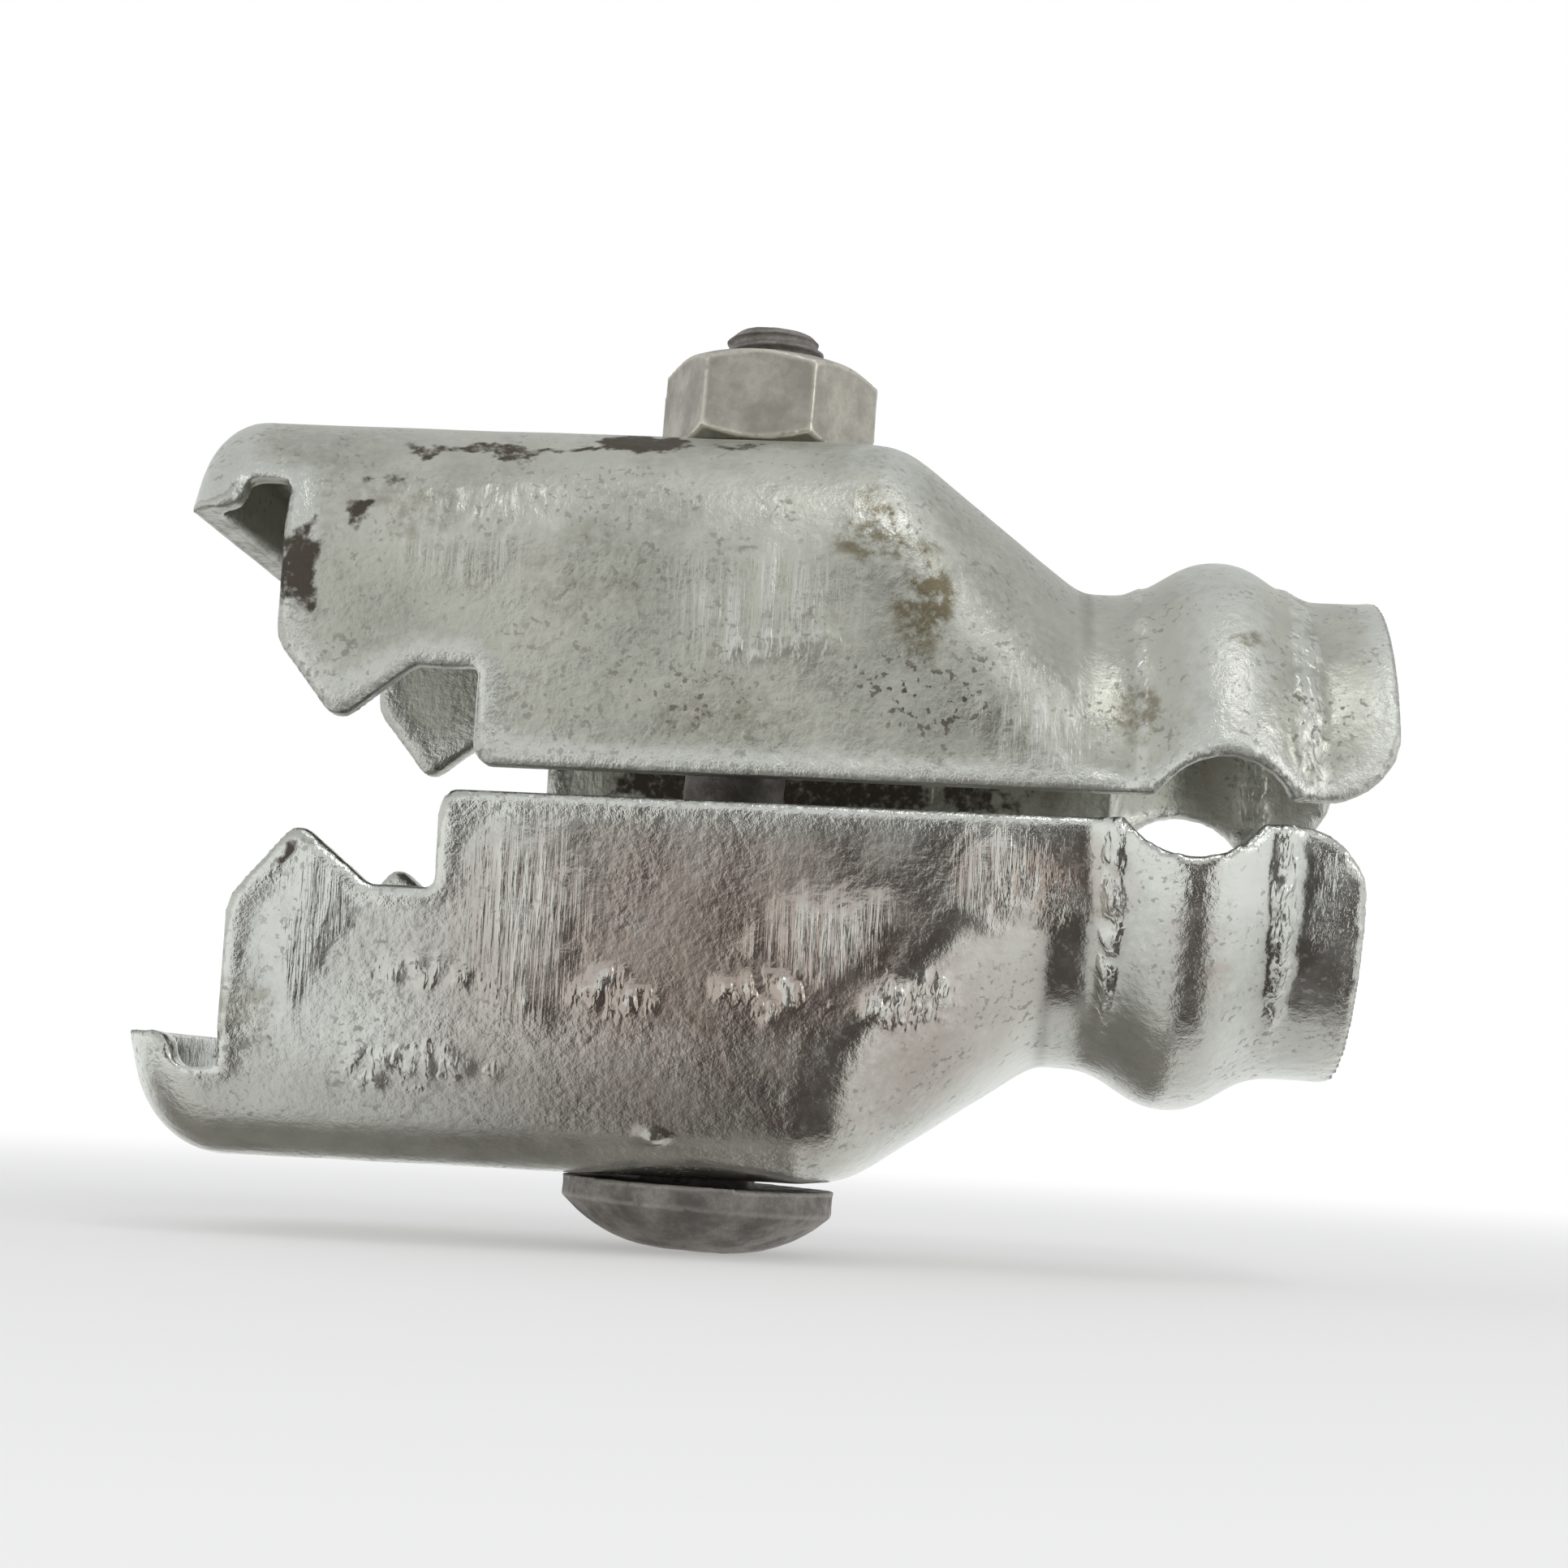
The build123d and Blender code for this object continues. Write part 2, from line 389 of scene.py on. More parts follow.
class GeometryGraph(Graph):
    """A geometry tree with named inputs, ending in Realize Instances and Set Material."""

    def __init__(self, name: str, sizes: Mapping[str, float], takes_mesh: bool) -> None:
        """Make the tree and its inputs.

        Args:
            name: the tree's name.
            sizes: each named size and its value.
            takes_mesh: whether it changes a mesh or makes its own.
        """
        super().__init__(bpy.data.node_groups.new(name, "GeometryNodeTree"))
        self.sizes = dict(sizes)
        face = self.tree.interface
        face.new_socket("Geometry", in_out="OUTPUT", socket_type="NodeSocketGeometry")
        if takes_mesh:
            face.new_socket("Geometry", in_out="INPUT", socket_type="NodeSocketGeometry")
        for size in sizes:
            face.new_socket(size, in_out="INPUT", socket_type="NodeSocketFloat")
        face.new_socket("Material", in_out="INPUT", socket_type="NodeSocketMaterial")
        self.inputs = self.node("NodeGroupInput", {}).outputs

    def place(self) -> Socket:
        """Read where the mesh's points are at this stage of the tree."""
        return self.node("GeometryNodeInputPosition", {}).outputs[0]

    def normal(self) -> Socket:
        """Read which way the surface faces at each point."""
        return self.node("GeometryNodeInputNormal", {}).outputs[0]

    def moved(self, geometry: Socket, **how: Socket) -> Socket:
        """Move the mesh's points to a Position or by an Offset."""
        inputs = {"Geometry": geometry, **how}
        return self.node("GeometryNodeSetPosition", inputs).outputs[0]

    def blurred(self, place: Socket, steps: int) -> Socket:
        """Even out the points' places over their neighbours.

        Args:
            place: the places.
            steps: how many faces away the neighbours reach.

        Returns:
            The evened places' socket.
        """
        inputs = {"Value": place, "Iterations": steps}
        made = self.node("GeometryNodeBlurAttribute", inputs, data_type="FLOAT_VECTOR")
        return next(out for out in made.outputs if out.enabled)

    def store(self, geometry: Socket, name: str, value: Socket) -> Socket:
        """Keep a value on the mesh's points for the material to read.

        Args:
            geometry: the mesh.
            name: the attribute's name.
            value: the value.

        Returns:
            The mesh's socket.
        """
        inputs = {"Geometry": geometry, "Name": name, "Value": value}
        kind = {"data_type": "FLOAT", "domain": "POINT"}
        return self.node("GeometryNodeStoreNamedAttribute", inputs, **kind).outputs[0]

    def end(self, geometry: Socket) -> None:
        """Finish the tree: smooth shading, real geometry and its material.

        Args:
            geometry: the mesh that the tree has made.
        """
        smooth = self.node("GeometryNodeSetShadeSmooth", {"Geometry": geometry}).outputs[0]
        real = self.node("GeometryNodeRealizeInstances", {"Geometry": smooth}).outputs[0]
        dressed = self.node("GeometryNodeSetMaterial", {"Geometry": real})
        self.feed(dressed.inputs["Material"], self.inputs["Material"])
        self.node("NodeGroupOutput", {0: dressed.outputs[0]})

    def put_on(self, piece: bpy.types.Object, material: bpy.types.Material) -> None:
        """Add the tree to a piece as a modifier, with its inputs set by their identifiers.

        Args:
            piece: the piece.
            material: what the tree dresses it in.
        """
        modifier = piece.modifiers.new(self.tree.name, "NODES")
        modifier.node_group = self.tree
        for item in self.tree.interface.items_tree:
            if item.in_out == "INPUT" and item.name in self.sizes:
                modifier[item.identifier] = float(self.sizes[item.name])
            elif item.in_out == "INPUT" and item.name == "Material":
                modifier[item.identifier] = material


def new_piece(name: str, mesh: bpy.types.Mesh) -> bpy.types.Object:
    """Put a mesh into the scene.

    Args:
        name: the object's name.
        mesh: the mesh.

    Returns:
        The new object.
    """
    piece = bpy.data.objects.new(name, mesh)
    bpy.context.scene.collection.objects.link(piece)
    return piece


def copied(node: str, name: str) -> bpy.types.Object:
    """Copy a CAD node's mesh, with its loose triangles joined.

    Args:
        node: the CAD node.
        name: the new piece's name.

    Returns:
        The new piece.
    """
    mesh = bpy.data.meshes.new(name)
    shape = bmesh.new()
    shape.from_mesh(frame["nodes"][node].data)
    bmesh.ops.remove_doubles(shape, verts=shape.verts, dist=SAME_POINT)
    shape.to_mesh(mesh)
    shape.free()
    return new_piece(name, mesh)


def skinned(piece: bpy.types.Object, grain: float, softening: int) -> None:
    """Rebuild a piece as an even, fine skin with softened arrises.

    Args:
        piece: the piece.
        grain: size of the skin's faces.
        softening: how many times the skin is smoothed.
    """
    remesh = piece.modifiers.new("skin", "REMESH")
    remesh.mode = "VOXEL"
    remesh.voxel_size = grain
    remesh.use_smooth_shade = True
    smooth = piece.modifiers.new("soften", "SMOOTH")
    smooth.factor = 0.5  # of the way to its neighbours' middle, each time
    smooth.iterations = softening


def settle(piece: bpy.types.Object) -> None:
    """Turn what a piece's modifiers make into its own plain mesh, and drop them.

    Args:
        piece: the piece.
    """
    bpy.context.view_layer.update()
    graph = bpy.context.evaluated_depsgraph_get()
    evaluated = piece.evaluated_get(graph)
    mesh = bpy.data.meshes.new_from_object(
        evaluated, preserve_all_data_layers=True, depsgraph=graph
    )
    piece.modifiers.clear()
    piece.data = mesh
    mesh.name = piece.name


def hand_in(piece: bpy.types.Object, body: str, node: str) -> None:
    """Give a finished piece its body, and hide the CAD node that it stands for.

    Args:
        piece: the piece.
        body: the CAD body that it moves with.
        node: the CAD node that it replaces.
    """
    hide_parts(node)
    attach(piece, body)
    log.info("%s: %d faces, rides on %s", piece.name, len(piece.data.polygons), body)


@dataclass(frozen=True)
class Skin:
    """The relief of a galvanised or forged surface, and the patches where it is marked."""

    name: str
    patches: tuple[Patch, ...]
    swell: float = 0.10 * MM  # slow unevenness of the sheet and the zinc
    peel: float = 0.035 * MM  # dimples of a few millimetres
    ridge: float = 0.50 * MM  # height of seams, runs and lumps
    sink: float = 0.04 * MM  # drawn in by this, which leaves room for the relief
    edging: float = 1.1  # extra thickness on an arris, for each mm that it stands out
    edging_stop: float = 0.6  # mm of standing out past which the edging grows no more
    rim_steps: int = 8  # how far the rim finder looks, in faces
    shore_steps: int = 8  # how many times further the shore finder looks
    seed: float = 1.0
    seed_way: Triple = (1.0, 0.7, 0.4)  # the way that the seed moves the noises

    def tree(self, node: str) -> GeometryGraph:
        """Build the tree that raises the relief and keeps its masks for the finish.

        Args:
            node: the CAD node whose box the skin stays in.

        Returns:
            The finished tree.
        """
        low, high = (tuple(corner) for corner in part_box(node))
        sizes = {"Swell": self.swell, "Peel": self.peel, "Ridge": self.ridge, "Sink": self.sink}
        graph = GeometryGraph(self.name, {**sizes, "Seed": self.seed}, takes_mesh=True)
        place, normal = graph.place(), graph.normal()
        drawn = graph.vector("ADD", place, graph.scaled(self.seed_way, graph.inputs["Seed"]))
        ragged, firm = graph.warped(place, RAGGED), graph.warped(place, FIRM)
        masks = {
            mark: self.mask(graph, firm if mark in FIRM_MARKS else ragged, mark) for mark in Mark
        }
        rim = self.bulge(graph, place, normal, self.rim_steps)
        shore = self.bulge(graph, place, normal, self.rim_steps * self.shore_steps)
        relief = self.relief(graph, drawn, masks, rim)
        kept = {mark.value: mask for mark, mask in masks.items()}
        kept.update(zip(MEASURES, (rim, shore, graph.times(relief, 1 / MM))))
        geometry = graph.inputs["Geometry"]
        for name, value in kept.items():
            geometry = graph.store(geometry, name, value)
        push = graph.scaled(normal, graph.math("SUBTRACT", relief, graph.inputs["Sink"]))
        geometry = graph.moved(geometry, Offset=push)
        even = graph.blurred(graph.place(), 1)
        inside = graph.vector("MAXIMUM", graph.vector("MINIMUM", even, high), low)
        graph.end(graph.moved(geometry, Position=inside))
        return graph

    def mask(self, graph: GeometryGraph, point: Socket, mark: Mark) -> Socket:
        """Join the patches of one kind of mark into one mask.

        Args:
            graph: the tree.
            point: the pushed points.
            mark: the kind of mark.

        Returns:
            The mask's socket, 0 everywhere if there is no such patch.
        """
        fade = 0.8 if mark in FADING_MARKS else 0.45
        total = graph.plus(0.0, 0.0)
        for patch in self.patches:
            if patch.mark is mark:
                total = graph.math("MAXIMUM", total, graph.patch(point, patch, fade))
        return total

    def bulge(self, graph: GeometryGraph, place: Socket, normal: Socket, steps: int) -> Socket:
        """Measure how far each point stands out of its surroundings, in millimetres.

        Args:
            graph: the tree.
            place: the points' places.
            normal: their normals.
            steps: how many faces away the surroundings reach.

        Returns:
            The bulge's socket, negative in a hollow.
        """
        away = graph.vector("SUBTRACT", place, graph.blurred(place, steps))
        return graph.times(graph.vector("DOT_PRODUCT", away, normal), 1 / MM)

    def relief(
        self, graph: GeometryGraph, point: Socket, masks: Mapping[Mark, Socket], rim: Socket
    ) -> Socket:
        """Add up the surface's height over its nominal shape.

        Args:
            graph: the tree.
            point: where the noises are read.
            masks: where each kind of mark lies.
            rim: how far each point stands out, in millimetres.

        Returns:
            The height's socket, in metres.
        """
        shapes = (  # shape and its share of the ridge's height
            (graph.times(masks[Mark.SEAM], graph.plus(graph.spots(point, SEAM_LUMPS), 0.35)), 1.5),
            (graph.times(masks[Mark.RUN], graph.spots(point, RUN_WORMS)), 1.1),
            (graph.times(masks[Mark.RAKE], graph.spots(point, RAKE_RIDGES)), 0.60),
            (masks[Mark.LUMP], 1.2),
        )
        swell = graph.swing(point, SWELL, graph.inputs["Swell"])
        total = graph.plus(swell, graph.swing(point, DIMPLES, graph.inputs["Peel"]))
        for shape, share in shapes:
            part = graph.times(graph.times(graph.inputs["Ridge"], shape), share)
            total = graph.plus(total, part)
        edge = graph.math("MINIMUM", graph.math("MAXIMUM", rim, 0.0), self.edging_stop)
        return graph.plus(total, graph.times(edge, self.edging * MM))


# Grains of the skin's relief, in millimetres.
SWELL = Grain(16.0, 1.0)
DIMPLES = Grain(2.4)
SEAM_LUMPS = Grain(1.5, 2.0, 0.6, (0.38, 0.60), (1.0, 0.7, 0.7))
RUN_WORMS = Grain(1.3, 1.0, band=(0.48, 0.60), drawn=(1.0, 1.0, 0.42))
RAKE_RIDGES = Grain(1.3, 1.0, band=(0.40, 0.62), drawn=(1.0, 1.0, 0.10))

# Grains, bands and fringes of the zinc's finish. A band or a fringe of a measure is in
# millimetres, one of a mask is in shares of its strength.
ZINC_CLOUDS = Grain(14.0, 5.0, 0.6, (0.32, 0.68))
ZINC_FLECKS = Grain(0.9, 3.0, 0.65, (0.30, 0.70))
# blotches of the painted warm reflection
REFLECTION_BLOTCHES = Grain(9.0, 5.0, 0.65, (0.15, 0.42))
ZINC_DULL = Grain(7.0, 4.0, 0.6, (0.35, 0.65))
ZINC_PEEL = Grain(1.1, 3.0, 0.55)
ZINC_SAND = Grain(0.28, 2.0, 0.6)
ZINC_CRUST = Grain(1.6, 4.0, 0.7)
ZINC_WORMS = Grain(1.1, 1.5, band=(0.44, 0.62), drawn=(1.0, 1.0, 0.38))
RAKE_LINES = Grain(0.75, 3.0, 0.6, (0.45, 0.62), (1.0, 1.0, 0.06))
RUST_SPOTS = Grain(2.2, 4.0, 0.7, (0.38, 0.62))
PIT_SPECKS = Grain(0.75, band=(0.57, 0.66))
PIT_GROUPS = Grain(6.0, 3.0, 0.6, (0.45, 0.62))
CRUSTED: Band = (0.10, 0.7)
# painted highlight on raised relief
CREST_HIGHLIGHT: Band = (0.12, 0.34)
# painted shade in hollows
HOLLOW_SHADE: Band = (-0.03, -0.12)
SOAKED_AND_SHADED: Band = (0.0, 0.4)
THICK_ZINC = Fringe((0.10, 0.55), (1.8, 0.35))
# painted highlight along the arrises
ARRIS_HIGHLIGHT = Fringe((0.05, 0.30), (1.2, 0.12))
# painted shade on the cut edges
CUT_EDGE_SHADE = Fringe((1.05, 1.25), (1.6, 0.35))
SOOT_AND_SHADE = Fringe((0.12, 0.95), (1.2, 1.1))

# Grains and bands of the plain steel's finish.
STEEL_CLOUDS = Grain(4.5, 5.0, 0.65, (0.32, 0.68))
STEEL_FLECKS = Grain(0.7, 4.0, 0.7, (0.35, 0.65))
STEEL_WEAR = Grain(1.6, 3.0, 0.6, (0.25, 0.5))
STEEL_PITS = Grain(1.3, 4.0, 0.6)
STEEL_SAND = Grain(0.3, 2.0, 0.6)
STEEL_DENTS = Grain(3.0, 3.0, 0.6)
# band of the rim for the painted highlight and the smoother wear along arrises
ARRIS_WEAR_AND_HIGHLIGHT: Band = (0.03, 0.12)


@dataclass(frozen=True)
class ZincFinish:
    """Hot-dip zinc: a mottled grey metal with brighter, thicker zinc along its edges, painted
    highlights on its arrises and crests, painted shade on its cut edges and in hollows, and a
    painted warm reflection.
    """

    name: str
    light: Rgb
    dark: Rgb
    # colour of the painted warm reflection of the room
    warm_reflection: Rgb
    metal: float
    smooth: float  # roughness of the brightest zinc
    dull: float  # roughness of the dullest
    peel: float  # depth of its dimples
    grain: float  # depth of its finest grain
    rake: float = 0.34 * MM  # depth of the drag lines
    worm: float = 0.20 * MM  # height of the worms in runs and seams
    crust: float = 2.5  # the crust's height along an edge, in peels
    edge: Rgb = (0.74, 0.75, 0.71)  # thick zinc, and the colour of the painted highlight on arrises and crests
    # colour of the dirt, and of the painted shade in hollows and in the gap between the halves
    dirt_and_shade: Rgb = (0.042, 0.028, 0.015)
    dirt_and_shade_rough: float = 0.35  # roughness that the dirt and the painted shade add
    dirt_and_shade_hides: float = 0.8  # how much of the metal the dirt and the painted shade hide
    rust: Rgb = (0.21, 0.185, 0.12)
    cut: Rgb = (0.16, 0.155, 0.12)  # painted shade on the cut edges of the sheet

    def material(self) -> bpy.types.Material:
        """Build the material.

        Returns:
            The finished material.
        """
        graph = MaterialGraph(self.name)
        names = (*MEASURES, *(mark.value for mark in Mark))
        read = {name: graph.attribute(name) for name in names}
        rakes = graph.noise(graph.point, RAKE_LINES)
        colour, dirt_and_shade = self.colour(graph, read, rakes)
        rough = graph.between(graph.spots(graph.point, ZINC_DULL), self.smooth, self.dull)
        rough = graph.math("ADD", rough, graph.times(dirt_and_shade, self.dirt_and_shade_rough), clamp=True)
        hidden = graph.times(dirt_and_shade, self.metal * self.dirt_and_shade_hides)
        metal = graph.math("SUBTRACT", self.metal, hidden)
        return graph.end_in_metal(colour, metal, rough, self.height(graph, read, rakes))

    def height(self, graph: MaterialGraph, read: Mapping[str, Socket], rakes: Socket) -> Socket:
        """Add up the fine relief that is too small for the mesh.

        Args:
            graph: the material's tree.
            read: the masks and measures kept on the mesh.
            rakes: the drag lines' noise.

        Returns:
            The height's socket, in metres.
        """
        point = graph.point
        peel = graph.times(graph.noise(point, ZINC_PEEL), self.peel)
        sand = graph.times(graph.noise(point, ZINC_SAND), self.grain)
        raked = graph.times(graph.times(rakes, read["rake"]), self.rake)
        crust = graph.times(graph.noise(point, ZINC_CRUST), self.peel * self.crust)
        crust = graph.times(crust, graph.step(read["shore"], *CRUSTED))
        thick = graph.math("MAXIMUM", read["run"], read["seam"])
        worms = graph.times(graph.times(graph.spots(point, ZINC_WORMS), thick), self.worm)
        total = graph.plus(graph.plus(peel, sand), graph.plus(raked, crust))
        return graph.plus(total, worms)

    def colour(
        self, graph: MaterialGraph, read: Mapping[str, Socket], rakes: Socket
    ) -> tuple[Socket, Socket]:
        """Mottle, tint and stain the zinc, and paint highlights, shade and a warm reflection on it.

        Args:
            graph: the material's tree.
            read: the masks and measures kept on the mesh.
            rakes: the drag lines' noise.

        Returns:
            The colour, and the share of dirt, pits and painted shade at each point.
        """
        point = graph.point
        lines = graph.times(graph.step(rakes, *RAKE_LINES.band), read["rake"])
        rust = graph.times(read["rust"], graph.spots(point, RUST_SPOTS))
        soil_and_shade = self.soil_and_shade(graph, read)
        layers = (  # where, how much and which colour, from the bottom up
            (graph.spots(point, ZINC_FLECKS), 0.35, self.light),
            # painted warm reflection of the room, in blotches
            (read["warm_reflection"], graph.spots(point, REFLECTION_BLOTCHES), self.warm_reflection),
            (lines, 0.60, self.edge),
            (graph.fringe(point, read["shore"], THICK_ZINC), 0.65, self.edge),
            # painted highlight along the arrises
            (graph.fringe(point, read["rim"], ARRIS_HIGHLIGHT), 0.4, self.edge),
            # painted shade on the cut edges
            (graph.fringe(point, read["shore"], CUT_EDGE_SHADE), 0.6, self.cut),
            # painted highlight on the crests of the relief
            (graph.step(read["relief"], *CREST_HIGHLIGHT), 0.5, self.edge),
            # painted shade in the hollows
            (graph.step(read["rim"], *HOLLOW_SHADE), 0.45, self.dirt_and_shade),
            (rust, 0.85, self.rust),
            # dirt and pits, and the painted shade inside the far wall
            (soil_and_shade, 0.95, self.dirt_and_shade),
        )
        cloudy = graph.mix(graph.spots(point, ZINC_CLOUDS), self.dark, self.light)
        return graph.layered(cloudy, layers), soil_and_shade

    def soil_and_shade(self, graph: MaterialGraph, read: Mapping[str, Socket]) -> Socket:
        """Say how much dirt, painted shade and pits each point has.

        Args:
            graph: the material's tree.
            read: the masks and measures kept on the mesh.

        Returns:
            A socket from 0 on clean zinc to 1.
        """
        soot_and_shade = graph.fringe(graph.point, read["dirt_and_shade"], SOOT_AND_SHADE)
        soot_and_shade = graph.times(soot_and_shade, graph.step(read["dirt_and_shade"], *SOAKED_AND_SHADED))
        specks = graph.spots(graph.point, PIT_SPECKS)
        pitted = graph.times(graph.times(specks, read["pit"]), 0.95)
        strays = graph.times(graph.times(specks, graph.spots(graph.point, PIT_GROUPS)), 0.38)
        pits = graph.math("MAXIMUM", pitted, strays)
        return graph.math("MAXIMUM", soot_and_shade, pits, clamp=True)


@dataclass(frozen=True)
class SteelFinish:
    """Plain or lightly plated steel: one grey, with a painted highlight along its arrises, where
    rubbing also makes it smoother.
    """

    name: str
    light: Rgb
    dark: Rgb
    # colour of the painted highlight on the arrises
    wear_and_highlight: Rgb
    metal: float
    smooth: float  # roughness of the brightest steel
    dull: float  # roughness of the dullest
    scale: float  # depth of the surface's pits
    sand: float = 0.35  # the finest grain's depth, in scales
    polish: float = 0.12  # roughness that rubbing takes off

    def material(self) -> bpy.types.Material:
        """Build the material.

        Returns:
            The finished material.
        """
        graph = MaterialGraph(self.name)
        point = graph.point
        cloud = graph.spots(point, STEEL_CLOUDS)
        wear_and_highlight = graph.step(graph.attribute("rim"), *ARRIS_WEAR_AND_HIGHLIGHT)
        wear_and_highlight = graph.times(wear_and_highlight, graph.spots(point, STEEL_WEAR))
        layers = (  # where, how much and which colour
            (graph.spots(point, STEEL_FLECKS), 0.4, self.dark),
            # painted highlight along the arrises
            (wear_and_highlight, 0.75, self.wear_and_highlight),
        )
        colour = graph.layered(graph.mix(cloud, self.dark, self.light), layers)
        rough = graph.between(cloud, self.dull, self.smooth)
        rough = graph.math("SUBTRACT", rough, graph.times(wear_and_highlight, self.polish))
        coarse = graph.times(graph.noise(point, STEEL_PITS), self.scale)
        fine = graph.times(graph.noise(point, STEEL_SAND), self.scale * self.sand)
        return graph.end_in_metal(colour, self.metal, rough, graph.plus(coarse, fine))


@dataclass
class PressedShell:
    """One galvanised half of the clamp, made from the CAD pressing's own shape."""

    node: str
    body: str
    slot: str
    finish: ZincFinish
    skin: Skin
    grain: float = 0.60 * MM
    softening: int = 6

    def build(self) -> None:
        """Make the shell's skin, dress it, and put it on its body in place of the CAD node."""
        piece = copied(self.node, f"{self.node}_skin")
        skinned(piece, self.grain, self.softening)
        self.skin.tree(self.node).put_on(piece, self.finish.material())
        settle(piece)
        hand_in(piece, self.body, self.node)


@dataclass
class BoltThread:
    """The bolt's shank with its rolled thread, up to the chamfered point."""

    radius: float
    length: float
    threaded: float = 38 * MM
    pitch: float = 1.75 * MM
    depth: float = 0.75 * MM  # the zinc has filled the root of the thread
    point: float = 1.3 * MM
    flank: Band = (0.08, 0.42)  # in pitches from the root's middle
    runout: int = 2  # pitches over which the thread fades in
    dent: float = 0.30 * MM
    around: int = 96  # faces round the shank
    row: float = 0.16 * MM
    merge: float = 0.01 * MM

    def tree(self) -> GeometryGraph:
        """Build the tree that wraps a grid into the shank and sinks the thread in it.

        Returns:
            The finished tree.
        """
        sizes = {"Radius": self.radius, "Length": self.length, "Pitch": self.pitch}
        sizes.update({"Depth": self.depth, "Point": self.point})
        graph = GeometryGraph("bolt_thread", sizes, takes_mesh=False)
        length = graph.inputs["Length"]
        ends = self.radius - self.point
        span = self.length + self.radius + ends
        grid = {"Size X": 1.0, "Size Y": 1.0, "Vertices X": self.around + 1}
        grid["Vertices Y"] = int(span / self.row)
        mesh = graph.node("GeometryNodeMeshGrid", grid).outputs[0]
        axes = graph.node("ShaderNodeSeparateXYZ", {0: graph.place()}).outputs
        turn = graph.plus(axes[0], 0.5)
        along = graph.times(graph.plus(axes[1], 0.5), span)
        along = graph.math("SUBTRACT", along, self.radius)
        height = graph.math("MINIMUM", graph.math("MAXIMUM", along, 0.0), length)
        radius = self.profile(graph, turn, height)
        for limit in (
            graph.plus(along, self.radius),
            graph.math("SUBTRACT", span - self.radius, along),
            graph.plus(graph.math("SUBTRACT", length, height), ends),
        ):
            radius = graph.math("MINIMUM", radius, graph.math("MAXIMUM", limit, 0.0))
        angle = graph.times(turn, math.tau)
        x, y = (graph.times(radius, graph.math(wave, angle)) for wave in ("COSINE", "SINE"))
        wrapped = graph.node("ShaderNodeCombineXYZ", {0: x, 1: y, 2: height}).outputs[0]
        inputs = {"Geometry": graph.moved(mesh, Position=wrapped), "Distance": self.merge}
        joined = graph.node("GeometryNodeMergeByDistance", inputs).outputs[0]
        dents = graph.times(graph.noise(graph.place(), STEEL_DENTS), -self.dent)
        graph.end(graph.moved(joined, Offset=graph.scaled(graph.normal(), dents)))
        return graph

    def profile(self, graph: GeometryGraph, turn: Socket, height: Socket) -> Socket:
        """Give the thread's radius, which follows a right-hand helix of the pitch.

        Args:
            graph: the tree.
            turn: how far round each point is, in turns.
            height: how far along the shank it is.

        Returns:
            The radius's socket.
        """
        phase = graph.math("SUBTRACT", graph.math("DIVIDE", height, graph.inputs["Pitch"]), turn)
        root = graph.step(graph.math("PINGPONG", phase, 0.5), *self.flank)
        start = self.length - self.threaded
        runs = graph.step(height, start, start + self.runout * self.pitch)
        sunk = graph.times(graph.times(root, runs), graph.inputs["Depth"])
        return graph.math("SUBTRACT", graph.inputs["Radius"], sunk)


